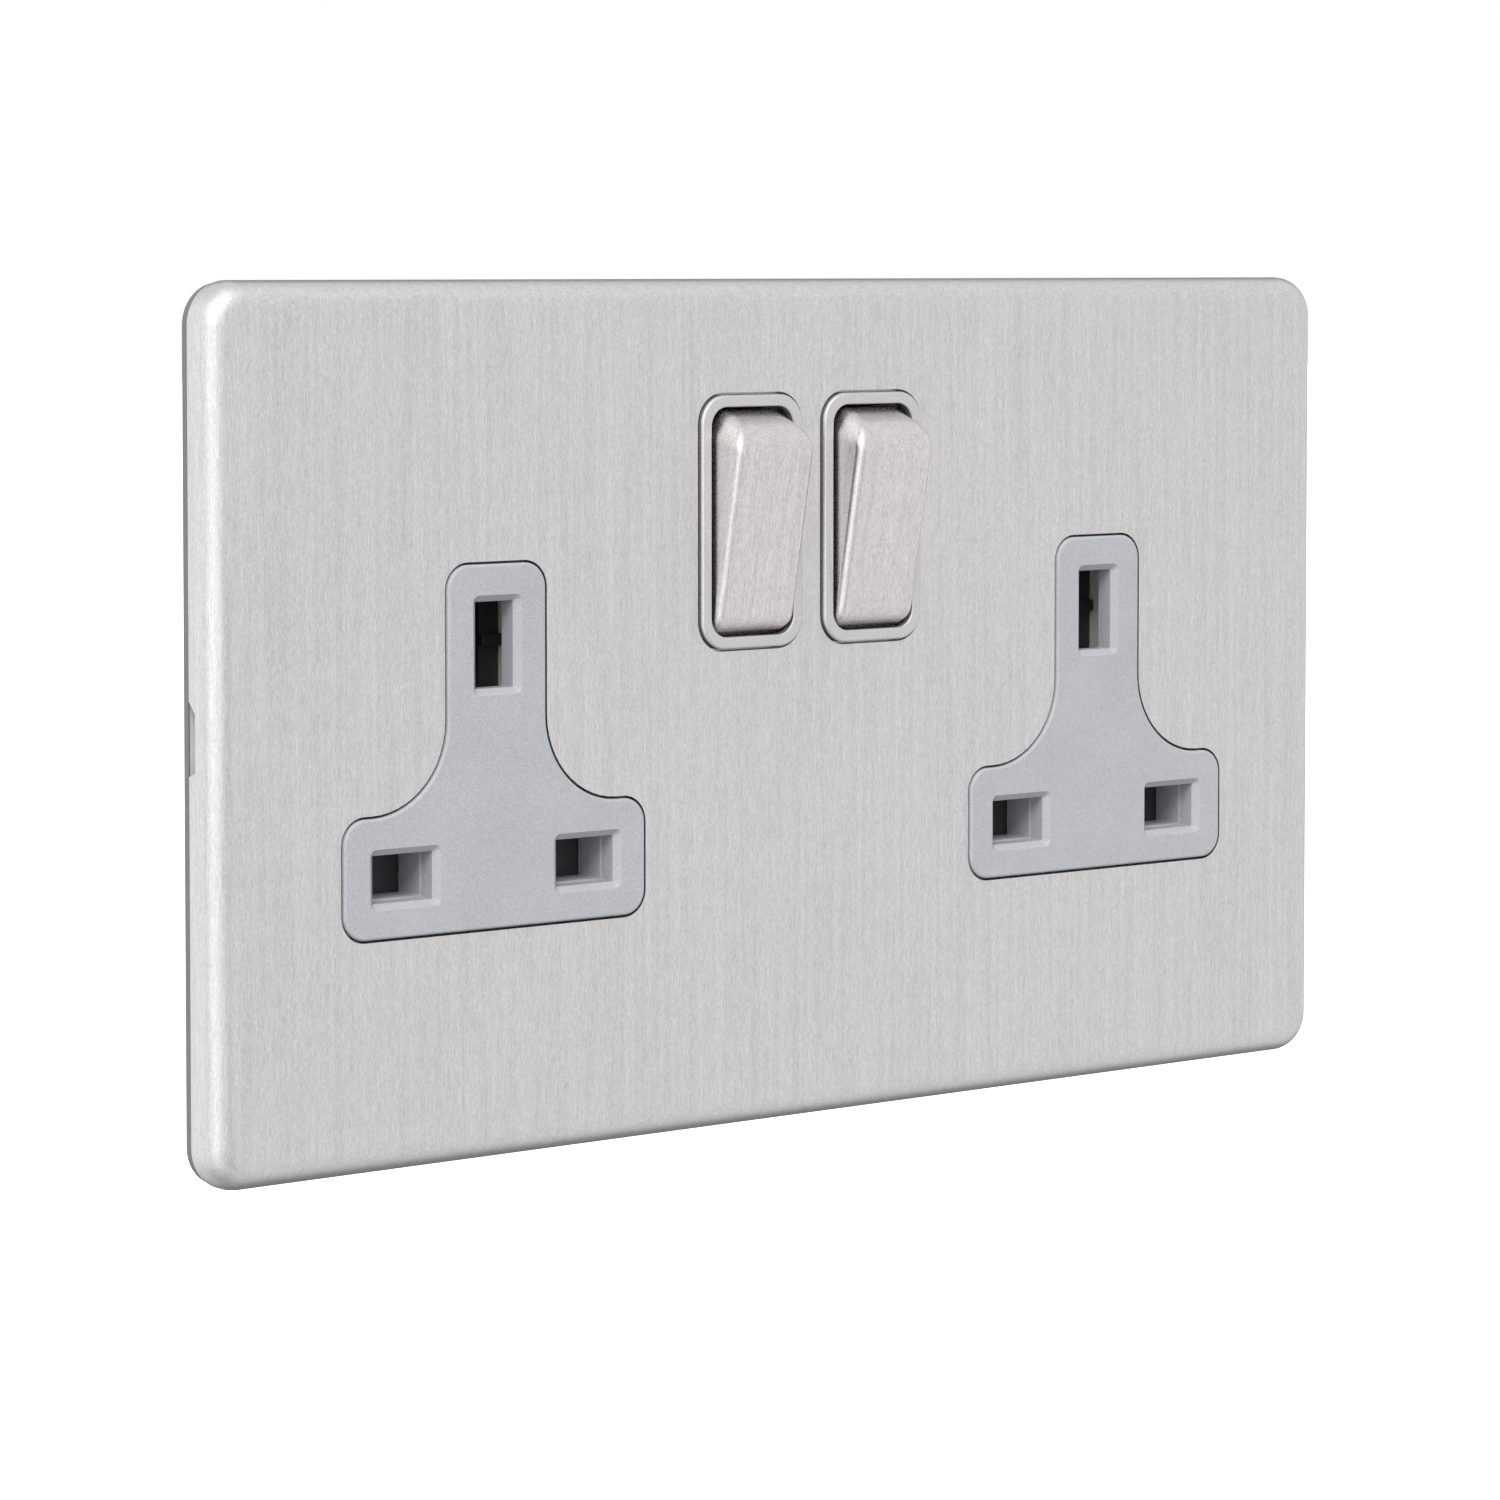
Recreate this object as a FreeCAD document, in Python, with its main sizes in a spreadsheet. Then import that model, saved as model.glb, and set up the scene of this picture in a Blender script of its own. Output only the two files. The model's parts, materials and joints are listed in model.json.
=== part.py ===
import FreeCAD, Part
import math
import os
import Sketcher
from types import SimpleNamespace

# Twin switched socket outlet with a clip-on brushed metal plate
# X runs to the right, Z up and -Y out of the wall. Y = 0 is the wall surface.
# A depth called front is measured out of the wall, so a negative front lies in the wall box.

SIZES = {
    # metal plate
    "plate_w": 147.5,
    "plate_h": 87.0,
    "plate_face": 4.6,
    "plate_back": 1.15,
    "plate_sheet": 1.0,
    "plate_edge_r": 2.7,
    "plate_corner_r": 4.3,
    "plate_gap": 0.25,
    "notch_len": 7.2,
    "notch_depth": 1.05,
    "notch_slope": 1.2,
    # plastic liner bonded into the plate
    "liner_sheet": 0.9,
    "liner_margin": 0.1,
    "leg_w": 8.4,
    "leg_sheet": 0.9,
    "leg_foot": 1.1,
    "nib_w": 4.8,
    "nib_height": 0.4,
    "nib_bite": 0.2,
    "liner_open_r": 1.0,
    # sheet metal mounting frame
    "frame_sheet": 0.8,
    "frame_inset": 0.2,
    "fixing_pitch": 120.6,
    "fixing_r": 2.1,
    "window_gap": 0.4,
    "ear_x": 50.0,
    "ear_margin": 5.5,
    "ear_w": 9.0,
    "ear_front": 2.5,
    "ear_slot_w": 5.6,
    "ear_slot_h": 0.7,
    "ear_slot_front": 1.4,
    "lance_h": 1.8,
    "ear_gap": 0.4,
    "tab_x": 28.0,
    "tab_w": 10.0,
    "tab_depth": 6.0,
    "tab_hole_w": 5.0,
    "tab_hole_h": 1.4,
    "tab_hole_at": 4.1,
    "pry_w": 9.4,
    "pry_front": 2.2,
    "pry_gap": 0.3,
    # pin layout and face inserts
    "socket_x": 40.2,
    "earth_z": 7.6,
    "pin_pitch": 22.2,
    "insert_proud": 0.25,
    "insert_edge_r": 0.3,
    "stem_w": 11.9,
    "base_w": 36.6,
    "insert_top": 8.0,
    "insert_foot": 5.8,
    "insert_shoulder": 6.0,
    "insert_arc_r": 9.0,
    "insert_corner_r": 2.5,
    "earth_slot_w": 4.6,
    "earth_slot_h": 8.6,
    "line_slot_w": 7.1,
    "line_slot_h": 4.7,
    "slot_bevel": 0.65,
    "slot_ledge": 0.2,
    "slot_corner_r": 0.1,
    "seat_rim": 1.5,
    "seat_gap": 0.1,
    "plug_len": 1.0,
    "shroud_wall": 1.2,
    "shroud_back": 1.25,
    # switch bezels
    "switch_x": 8.05,
    "switch_z": 18.75,
    "bezel_w": 13.2,
    "bezel_h": 25.9,
    "bezel_r": 2.95,
    "bezel_open_w": 10.7,
    "bezel_open_h": 23.45,
    "bezel_open_r": 2.0,
    "bezel_proud": 0.5,
    "bezel_edge_r": 0.3,
    "bezel_inner_r": 0.2,
    "bezel_lip": 0.8,
    "bezel_rim": 1.2,
    "bezel_rim_t": 0.95,
    "bezel_peg_r": 0.7,
    "peg_len": 1.8,
    "peg_gap": 0.05,
    "peg_room": 0.2,
    # rockers
    "rocker_w": 10.1,
    "rocker_len": 22.2,
    "rocker_face": 6.9,
    "rocker_end_r": 2.8,
    "rocker_edge_r": 0.85,
    "rocker_corner_r": 2.2,
    "rocker_tilt": 11.0,
    "rocker_foot": 1.3,
    "cap_sheet": 0.6,
    "cap_step_r": 0.3,
    "cap_gap": 0.1,
    "pivot_front": 0.6,
    "pivot_r": 1.0,
    "pivot_gap": 0.05,
    "pivot_len": 13.0,
    "hub_w": 9.6,
    "hub_len": 10.0,
    "hub_back": 2.0,
    "stem_x": 5.2,
    "stem_z": 6.0,
    "stem_r": 0.5,
    "stem_back": 6.5,
    "plunger_r": 1.5,
    "plunger_gap": 0.1,
    "plunger_tip": 8.8,
    "plunger_len": 5.1,
    "bore_top": 3.5,
    # housings
    "housing_front": 2.35,
    "housing_back": 9.0,
    "housing_w": 117.0,
    "housing_h": 65.2,
    "housing_r": 3.0,
    "housing_wall": 1.6,
    "housing_face_t": 2.0,
    "flange_w": 124.0,
    "flange_h": 74.0,
    "flange_notch_x": 55.5,
    "flange_notch_z": 5.5,
    "lug_x": 52.5,
    "lug_z": 7.5,
    "well_w": 10.9,
    "well_h": 24.4,
    "well_wall": 1.5,
    "well_back": 5.0,
    "nub_gap": 0.25,
    "rear_inset": 0.8,
    "rear_back": 24.4,
    "rear_floor": 2.0,
    "rear_edge_r": 0.8,
    "post_w": 3.4,
    "post_len": 3.6,
    "prop_w": 3.0,
    "left_prop_x": -16.1,
    "right_prop_x": 32.2,
    "boss_x": 54.0,
    "boss_z": 27.0,
    "boss_r": 3.0,
    "screw_r": 1.4,
    "screw_gap": 0.06,
    "screw_head_r": 2.5,
    "screw_head_t": 1.6,
    "screw_sink": 0.4,
    "screw_head_gap": 0.2,
    "screw_end": 1.5,
    "drive_w": 0.7,
    "drive_depth": 0.7,
    # shutters
    "shutter_gap": 0.15,
    "shutter_t": 2.2,
    "shutter_r": 0.5,
    "shutter_web_w": 10.0,
    "shutter_top": 19.5,
    "blade_w": 31.4,
    "blade_top": 3.3,
    "blade_foot": 3.4,
    "window_w": 5.2,
    "window_top": 17.3,
    "cam_low": 2.9,
    "cam_top": 8.7,
    "cam_lip": 1.3,
    "cam_t": 1.5,
    "cam_root": 0.6,
    "cam_side": 0.4,
    "rib_h": 1.2,
    "rib_proud": 0.6,
    "rail_gap": 0.2,
    "rail_w": 1.4,
    "rail_low": -9.5,
    "rail_top": 17.0,
    "lip_w": 1.0,
    "lip_t": 0.8,
    "spring_seat_z": -26.5,
    "spring_seat_t": 2.0,
    "spring_seat_w": 6.0,
    "spring_r": 1.3,
    "spring_wire": 0.45,
    "spring_turns": 5.0,
    "spring_gap": 0.05,
    # contacts and terminals
    "brass": 0.8,
    "clip_w": 6.0,
    "clip_gap": 4.1,
    "clip_mouth": 1.15,
    "clip_flare": 1.6,
    "clip_front": 5.0,
    "earth_clip_front": 8.6,
    "earth_clip_h": 8.0,
    "live_level": 14.0,
    "neutral_level": 16.0,
    "earth_level": 19.0,
    "feed_level": 12.3,
    "bar_h": 2.3,
    "earth_bar_h": 6.0,
    "strip_w": 3.6,
    "strip_top": 26.5,
    "left_run_x": -21.0,
    "right_run_x": 47.8,
    "terminal_x": 14.0,
    "terminal_w": 8.6,
    "terminal_h": 9.0,
    "terminal_z": -25.3,
    "terminal_t": 6.2,
    "terminal_r": 0.4,
    "tab_short": 1.2,
    "jog_len": 3.0,
    "feed_turn": 2.0,
    "wire_r": 2.2,
    "wire_at": 3.0,
    "clamp_r": 1.5,
    "clamp_gap": 0.05,
    "clamp_tip_gap": 0.15,
    "clamp_lift": 0.4,
    "clamp_head_r": 2.6,
    "clamp_access_r": 3.0,
    "divider_t": 1.4,
    "divider_h": 10.0,
    # moving switch contacts
    "seesaw_depth": 9.9,
    "seesaw_tilt": 8.0,
    "seesaw_w": 5.0,
    "seesaw_len": 13.0,
    "seesaw_lead": 1.4,
    "seesaw_t": 0.8,
    "knuckle_r": 1.0,
    "knuckle_gap": 0.05,
    "cradle_h": 4.4,
    "button_r": 1.1,
    "button_t": 0.3,
    "button_z": 5.6,
    "fixed_r": 1.6,
    "fixed_gap": 0.8,
}

os.makedirs("parts", exist_ok=True)
doc = FreeCAD.newDocument("twin_socket")
sheet = doc.addObject("Spreadsheet::Sheet", "dims")
for row, (name, number) in enumerate(SIZES.items(), start=1):
    sheet.set(f"A{row}", name)
    sheet.set(f"B{row}", str(number))
    sheet.setAlias(f"B{row}", name)
doc.recompute()


class Size:
    """A length as a number and as the sheet expression behind it."""

    def __init__(self, value, text):
        self.value = float(value)
        self.text = text

    def __add__(self, other):
        other = size_of(other)
        return Size(self.value + other.value, f"({self.text} + {other.text})")

    def __sub__(self, other):
        other = size_of(other)
        return Size(self.value - other.value, f"({self.text} - {other.text})")

    def __mul__(self, factor):
        return Size(self.value * factor, f"({self.text} * {factor})")

    def __truediv__(self, factor):
        return Size(self.value / factor, f"({self.text} / {factor})")

    def __neg__(self):
        return self * -1

    def __radd__(self, other):
        return size_of(other) + self

    def __rsub__(self, other):
        return size_of(other) - self

    __rmul__ = __mul__


def size_of(item):
    """The item itself, or a plain number as a size."""
    if isinstance(item, Size):
        return item
    return Size(item, f"({float(item)})")


def bind(target, prop, size):
    """Tie a property to the sheet."""
    target.setExpression(prop, size_of(size).text)


def fix(sketch, kind, where, size):
    """Add a sized constraint and tie it to the sheet."""
    index = sketch.addConstraint(Sketcher.Constraint(kind, *where, size.value))
    sketch.setExpression(f"Constraints[{index}]", size.text)


d = SimpleNamespace(**{name: Size(sheet.get(name), f"dims.{name}") for name in SIZES})


class Outline:
    """A closed loop of level and upright edges, each corner given as across, up and radius."""

    def __init__(self, corners):
        self.corners = [tuple(size_of(item) for item in corner) for corner in corners]

    def draw(self, sketch):
        corners = self.corners
        count = len(corners)
        heading = []
        for here, after in zip(corners, corners[1:] + corners[:1]):
            run = (after[0].value - here[0].value, after[1].value - here[1].value)
            length = math.hypot(*run)
            heading.append((run[0] / length, run[1] / length))
        lines = []
        for i, (here, after) in enumerate(zip(corners, corners[1:] + corners[:1])):
            across, up = heading[i]
            start = (here[0].value + across * here[2].value, here[1].value + up * here[2].value)
            end = (after[0].value - across * after[2].value, after[1].value - up * after[2].value)
            lines.append(sketch.addGeometry(Part.LineSegment(FreeCAD.Vector(*start), FreeCAD.Vector(*end))))
            level = abs(across) > abs(up)
            sketch.addConstraint(Sketcher.Constraint("Horizontal" if level else "Vertical", lines[i]))
            fix(sketch, "DistanceY" if level else "DistanceX", (-1, 1, lines[i], 1), here[1 if level else 0])
        for i, corner in enumerate(corners):
            before = lines[i - 1]
            radius = corner[2].value
            if radius == 0:
                sketch.addConstraint(Sketcher.Constraint("Coincident", before, 2, lines[i], 1))
                continue
            enter = heading[i - 1]
            leave = heading[i]
            centre = FreeCAD.Vector(corner[0].value + radius * (leave[0] - enter[0]),
                                    corner[1].value + radius * (leave[1] - enter[1]))
            first = math.atan2(-leave[1], -leave[0])
            last = math.atan2(enter[1], enter[0])
            left_turn = enter[0] * leave[1] - enter[1] * leave[0] > 0
            ends = (1, 2) if left_turn else (2, 1)
            span = (first, last) if left_turn else (last, first)
            circle = Part.Circle(centre, FreeCAD.Vector(0, 0, 1), radius)
            arc = sketch.addGeometry(Part.ArcOfCircle(circle, *span))
            sketch.addConstraint(Sketcher.Constraint("Tangent", before, 2, arc, ends[0]))
            sketch.addConstraint(Sketcher.Constraint("Tangent", arc, ends[1], lines[i], 1))
            fix(sketch, "Radius", (arc,), corner[2])


class Polygon:
    """A closed loop of straight edges through given points."""

    def __init__(self, points):
        self.points = [(size_of(across), size_of(up)) for across, up in points]

    def draw(self, sketch):
        spots = [FreeCAD.Vector(across.value, up.value) for across, up in self.points]
        lines = [sketch.addGeometry(Part.LineSegment(a, b)) for a, b in zip(spots, spots[1:] + spots[:1])]
        for i, line in enumerate(lines):
            sketch.addConstraint(Sketcher.Constraint("Coincident", lines[i - 1], 2, line, 1))
            fix(sketch, "DistanceX", (-1, 1, line, 1), self.points[i][0])
            fix(sketch, "DistanceY", (-1, 1, line, 1), self.points[i][1])


class Circle:
    """A circle given by its centre and radius."""

    def __init__(self, across, up, radius):
        self.across, self.up, self.radius = size_of(across), size_of(up), size_of(radius)

    def draw(self, sketch):
        centre = FreeCAD.Vector(self.across.value, self.up.value)
        ring = sketch.addGeometry(Part.Circle(centre, FreeCAD.Vector(0, 0, 1), self.radius.value))
        fix(sketch, "DistanceX", (-1, 1, ring, 3), self.across)
        fix(sketch, "DistanceY", (-1, 1, ring, 3), self.up)
        fix(sketch, "Radius", (ring,), self.radius)


def span(left, right, low, high, radius=0):
    """A rectangle between two sides."""
    return Outline([(left, low, radius), (right, low, radius), (right, high, radius), (left, high, radius)])


def rect(across, up, width, height, radius=0):
    """A rectangle about a centre."""
    across, up = size_of(across), size_of(up)
    half_w, half_h = size_of(width) / 2, size_of(height) / 2
    return span(across - half_w, across + half_w, up - half_h, up + half_h, radius)


class Piece:
    """One physical piece, built as a body of sketched features."""

    def __init__(self, name, group=False):
        self.name = name
        self.body = doc.addObject("PartDesign::Body", name)
        self.body.Label = name
        self.body.AllowCompound = group

    def sketch(self, plane, offset, loops):
        sketch = self.body.newObject("Sketcher::SketchObject", f"{self.name}_sketch")
        support = next(item for item in self.body.Origin.OriginFeatures if item.Role == plane)
        sketch.AttachmentSupport = [(support, "")]
        sketch.MapMode = "FlatFace"
        spot = FreeCAD.Vector(0, 0, size_of(offset).value)
        sketch.AttachmentOffset = FreeCAD.Placement(spot, FreeCAD.Rotation())
        bind(sketch, "AttachmentOffset.Base.z", offset)
        for loop in loops:
            loop.draw(sketch)
        return sketch

    def feature(self, kind, plane, start, length, loops):
        sketch = self.sketch(plane, start, loops)
        feature = self.body.newObject(f"PartDesign::{kind}", f"{self.name}_{kind.lower()}")
        feature.Profile = sketch
        feature.Reversed = kind == "Pocket"
        feature.Length = size_of(length).value
        bind(feature, "Length", length)
        sketch.Visibility = False
        self.body.Tip = feature

    def add(self, plane, start, end, *loops):
        """Material between two levels along the plane's normal."""
        self.feature("Pad", plane, start, size_of(end) - start, loops)

    def cut(self, plane, start, end, *loops):
        """A cut between two levels along the plane's normal."""
        self.feature("Pocket", plane, start, size_of(end) - start, loops)

    def dress(self, kind, size, chosen):
        """Round or bevel the edges that the test picks."""
        doc.recompute()
        last = self.body.Tip
        names = [f"Edge{n}" for n, edge in enumerate(last.Shape.Edges, start=1) if chosen(edge.BoundBox)]
        feature = self.body.newObject(f"PartDesign::{kind}", f"{self.name}_{kind.lower()}")
        feature.Base = (last, names)
        prop = "Radius" if kind == "Fillet" else "Size"
        setattr(feature, prop, size.value)
        bind(feature, prop, size)
        self.body.Tip = feature

    def hollow(self, thickness, chosen):
        """Shell the piece inwards, open at the face that the test picks."""
        doc.recompute()
        last = self.body.Tip
        names = [f"Face{n}" for n, face in enumerate(last.Shape.Faces, start=1) if chosen(face.BoundBox)]
        shell = self.body.newObject("PartDesign::Thickness", f"{self.name}_shell")
        shell.Base = (last, names)
        shell.Reversed = True
        shell.Join = "Arc"
        shell.Value = thickness.value
        bind(shell, "Value", thickness)
        self.body.Tip = shell

    def place(self, across, front, up, tilt=None):
        """Stand the piece at a point and tilt it about X."""
        angle = size_of(0 if tilt is None else tilt)
        spot = FreeCAD.Vector(size_of(across).value, -size_of(front).value, size_of(up).value)
        self.body.Placement = FreeCAD.Placement(spot, FreeCAD.Rotation(FreeCAD.Vector(1, 0, 0), angle.value))
        bind(self.body, "Placement.Base.x", across)
        bind(self.body, "Placement.Base.y", -size_of(front))
        bind(self.body, "Placement.Base.z", up)
        if tilt is not None:
            bind(self.body, "Placement.Rotation.Angle", tilt)


def lies_at(low, high, level):
    """Whether a flat span sits at a level."""
    return abs(low - level) < 1e-3 and abs(high - level) < 1e-3


SIDES = (("left", -1), ("right", 1))
FRONT, SIDE, PLAN = "XZ_Plane", "YZ_Plane", "XY_Plane"
# how far a cut runs past a face, and how far added material runs into what carries it
PAST = 1.0
INTO = 0.5
# how close counts as the same place
NEAR = 0.01
# share of a screw head that its drive slot crosses
DRIVE_SHARE = 1.4

# derived levels
line_z = d.earth_z - d.pin_pitch
half_pins = d.pin_pitch / 2
insert_face = d.plate_face + d.insert_proud
bezel_face = d.plate_face + d.bezel_proud
plate_inside = d.plate_face - d.plate_sheet
liner_back = plate_inside - d.liner_sheet
body_x = d.housing_w / 2
body_z = d.housing_h / 2
shutter_front = -d.shroud_back - d.shutter_gap
shutter_back = shutter_front - d.shutter_t
floor_front = -d.rear_back + d.rear_floor
bezel_rim_w = d.bezel_w + d.bezel_rim * 2
bezel_rim_h = d.bezel_h + d.bezel_rim * 2
well_x = d.switch_x + d.well_w / 2 + d.well_wall
ear_columns = (-d.ear_x, size_of(0), d.ear_x)
ear_z = d.plate_h / 2 - d.ear_margin
tab_foot = d.terminal_z - d.terminal_h / 2 + d.tab_short
terminals = {
    "earth_terminal_left": -d.terminal_x,
    "live_terminal": size_of(0),
    "earth_terminal_right": d.terminal_x,
    "neutral_terminal": d.socket_x - half_pins,
}


def insert_loop(across, grow=0):
    """The T outline of a face insert, grown all round."""
    grow = size_of(grow)
    stem = d.stem_w / 2 + grow
    base = d.base_w / 2 + grow
    top = d.earth_z + d.insert_top + grow
    shoulder = line_z + d.insert_shoulder + grow
    foot = line_z - d.insert_foot - grow
    convex = d.insert_corner_r + grow
    concave = d.insert_arc_r - grow
    return Outline([
        (across - base, foot, convex),
        (across + base, foot, convex),
        (across + base, shoulder, convex),
        (across + stem, shoulder, concave),
        (across + stem, top, convex),
        (across - stem, top, convex),
        (across - stem, shoulder, concave),
        (across - base, shoulder, convex),
    ])


def slot_loops(across, ledge=0):
    """The three pin slots of one socket, narrowed by a ledge."""
    ledge = size_of(ledge)
    loops = [rect(across, d.earth_z, d.earth_slot_w - ledge * 2, d.earth_slot_h - ledge * 2, d.slot_corner_r)]
    for _, way in SIDES:
        loops.append(rect(across + half_pins * way, line_z, d.line_slot_w - ledge * 2,
                          d.line_slot_h - ledge * 2, d.slot_corner_r))
    return loops


def in_a_slot(point, across):
    """Whether a point lies on or inside the edge of a pin slot of one socket."""
    aside = abs(point.x - across.value)
    earth = (aside, abs(point.z - d.earth_z.value), d.earth_slot_w, d.earth_slot_h)
    line = (abs(aside - half_pins.value), abs(point.z - line_z.value), d.line_slot_w, d.line_slot_h)
    return any(x < width.value / 2 + NEAR and z < height.value / 2 + NEAR
               for x, z, width, height in (earth, line))


def seat_loop(across, gap=0):
    """The housing's opening for the plug and shrouds of an insert, shrunk by a gap."""
    half = d.base_w / 2 - d.seat_rim - gap
    low = line_z - d.insert_foot + d.seat_rim + gap
    return span(across - half, across + half, low, line_z + d.insert_shoulder - d.seat_rim - gap)


def lugged(half_x, half_z, lug_x, lug_z, radius):
    """A rectangle with a notch in each end for the wall box lugs."""
    small = radius / 2
    return Outline([
        (-half_x, -half_z, radius),
        (half_x, -half_z, radius),
        (half_x, -lug_z, small),
        (lug_x, -lug_z, small),
        (lug_x, lug_z, small),
        (half_x, lug_z, small),
        (half_x, half_z, radius),
        (-half_x, half_z, radius),
        (-half_x, lug_z, small),
        (-lug_x, lug_z, small),
        (-lug_x, -lug_z, small),
        (-half_x, -lug_z, small),
    ])


def bezel_loop(across, grow=0):
    """The outside of a switch bezel, grown all round."""
    grow = size_of(grow)
    return rect(across, d.switch_z, d.bezel_w + grow * 2, d.bezel_h + grow * 2, d.bezel_r + grow)


# Metal plate: drawn sheet with a rounded rim, cut for the inserts and bezels
plate = Piece("front_plate")
plate.add(FRONT, d.plate_back, d.plate_face, rect(0, 0, d.plate_w, d.plate_h, d.plate_corner_r))
plate.dress("Fillet", d.plate_edge_r, lambda box: lies_at(box.YMin, box.YMax, -d.plate_face.value))
plate.hollow(d.plate_sheet, lambda box: lies_at(box.YMin, box.YMax, -d.plate_back.value))
for _, way in SIDES:
    plate.cut(FRONT, plate_inside - PAST, d.plate_face + PAST, insert_loop(d.socket_x * way, d.plate_gap))
    plate.cut(FRONT, plate_inside - PAST, d.plate_face + PAST, bezel_loop(d.switch_x * way, d.plate_gap))
notch_half = d.notch_len / 2
notch_top = -(d.plate_back + d.notch_depth)
plate.cut(SIDE, -d.plate_w / 2 - PAST, -d.plate_w / 2 + d.plate_sheet * 1.5, Polygon([
    (-d.plate_back + INTO, -notch_half),
    (-d.plate_back + INTO, notch_half),
    (-d.plate_back, notch_half),
    (notch_top, notch_half - d.notch_slope),
    (notch_top, -notch_half + d.notch_slope / 3),
    (-d.plate_back, -notch_half),
]))

# Liner: insulating backing bonded into the plate, with snap legs over the frame's ears
liner = Piece("plate_liner")
liner_half_w = d.plate_w / 2 - d.plate_edge_r - d.liner_margin
liner_half_h = d.plate_h / 2 - d.plate_edge_r - d.liner_margin
liner.add(FRONT, liner_back, plate_inside, rect(0, 0, liner_half_w * 2, liner_half_h * 2, d.plate_edge_r))
for _, way in SIDES:
    liner.cut(FRONT, liner_back - PAST, plate_inside + PAST, insert_loop(d.socket_x * way, d.plate_gap * 4))
liner.cut(FRONT, liner_back - PAST, plate_inside + PAST,
          rect(0, d.switch_z, d.switch_x * 2 + bezel_rim_w + d.plate_gap * 3, bezel_rim_h + d.plate_gap * 3,
               d.liner_open_r))
leg_low = ear_z + d.frame_sheet + d.nib_bite
leg_loops = []
nib_loops = []
for column in ear_columns:
    for way in (-1, 1):
        inner, outer = leg_low * way, (leg_low + d.leg_sheet) * way
        tip, root = (leg_low - d.nib_bite * 2) * way, (leg_low + d.leg_sheet / 2) * way
        low, high = (inner, outer) if way > 0 else (outer, inner)
        leg_loops.append(span(column - d.leg_w / 2, column + d.leg_w / 2, low, high))
        low, high = (tip, root) if way > 0 else (root, tip)
        nib_loops.append(span(column - d.nib_w / 2, column + d.nib_w / 2, low, high))
nib_low = d.ear_slot_front + (d.ear_slot_h - d.nib_height) / 2
liner.add(FRONT, d.leg_foot, liner_back + d.liner_sheet / 2, *leg_loops)
liner.add(FRONT, nib_low, nib_low + d.nib_height, *nib_loops)

# Mounting frame: pressed sheet with fixing holes, lanced ears for the plate and tabs for the housing
frame = Piece("mounting_frame")
frame_half_w = d.plate_w / 2 - d.frame_inset
frame_half_h = d.plate_h / 2 - d.frame_inset
window = lugged(body_x + d.window_gap, body_z + d.window_gap, d.lug_x + d.window_gap,
                d.lug_z - d.window_gap, d.housing_r)
frame_edge = rect(0, 0, frame_half_w * 2, frame_half_h * 2, d.plate_corner_r - d.frame_inset)
frame.add(FRONT, 0, d.frame_sheet, frame_edge, window,
          *[Circle(d.fixing_pitch / 2 * way, 0, d.fixing_r) for _, way in SIDES])
ear_loops = []
lance_loops = []
slot_cuts = []
for column in ear_columns:
    for way in (-1, 1):
        middle = (ear_z + d.frame_sheet / 2) * way
        ear_loops.append(rect(column, middle, d.ear_w, d.frame_sheet))
        lance_loops.append(rect(column, (ear_z - d.lance_h / 2) * way, d.ear_w + d.ear_gap * 2, d.lance_h))
    slot_cuts.append(span(column - d.ear_slot_w / 2, column + d.ear_slot_w / 2,
                          -d.ear_slot_front - d.ear_slot_h, -d.ear_slot_front))
frame.cut(FRONT, -PAST, d.frame_sheet + PAST, *lance_loops)
frame.add(FRONT, 0, d.ear_front, *ear_loops)
frame.cut(PLAN, -d.plate_h / 2, d.plate_h / 2, *slot_cuts)
tab_inner = body_z + d.window_gap / 4
tab_loops = []
for way in (-1, 1):
    for _, side in SIDES:
        tab_loops.append(rect(d.tab_x * side, (tab_inner + d.frame_sheet / 2) * way, d.tab_w, d.frame_sheet))
frame.add(FRONT, -d.tab_depth, d.frame_sheet, *tab_loops)
frame.cut(PLAN, -d.plate_h / 2, d.plate_h / 2,
          *[rect(d.tab_x * side, d.tab_hole_at, d.tab_hole_w, d.tab_hole_h) for _, side in SIDES])
pry_x = -d.plate_w / 2 + d.plate_sheet + d.pry_gap
frame.add(FRONT, 0, d.pry_front, span(pry_x, pry_x + d.frame_sheet, -d.pry_w / 2, d.pry_w / 2))

# Face inserts, seated in the front housing by a plug and two pin shrouds
for side, way in SIDES:
    middle = d.socket_x * way
    insert = Piece(f"socket_insert_{side}")
    insert.add(FRONT, d.housing_front, insert_face, insert_loop(middle))
    insert.dress("Fillet", d.insert_edge_r, lambda box: lies_at(box.YMin, box.YMax, -insert_face.value))
    insert.add(FRONT, d.housing_front - d.plug_len, d.housing_front, seat_loop(middle, d.seat_gap))
    shroud_w, shroud_h = d.line_slot_w + d.shroud_wall * 2, d.line_slot_h + d.shroud_wall * 2
    insert.add(FRONT, -d.shroud_back, d.housing_front,
               *[rect(middle + half_pins * pin, line_z, shroud_w, shroud_h) for _, pin in SIDES])
    insert.cut(FRONT, d.housing_front, insert_face + PAST, *slot_loops(middle))
    insert.cut(FRONT, -d.shroud_back - PAST, d.housing_front, *slot_loops(middle, d.slot_ledge)[1:])
    insert.dress("Chamfer", d.slot_bevel, lambda box: (
        lies_at(box.YMin, box.YMax, -insert_face.value) and in_a_slot(box.Center, middle)))

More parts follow.
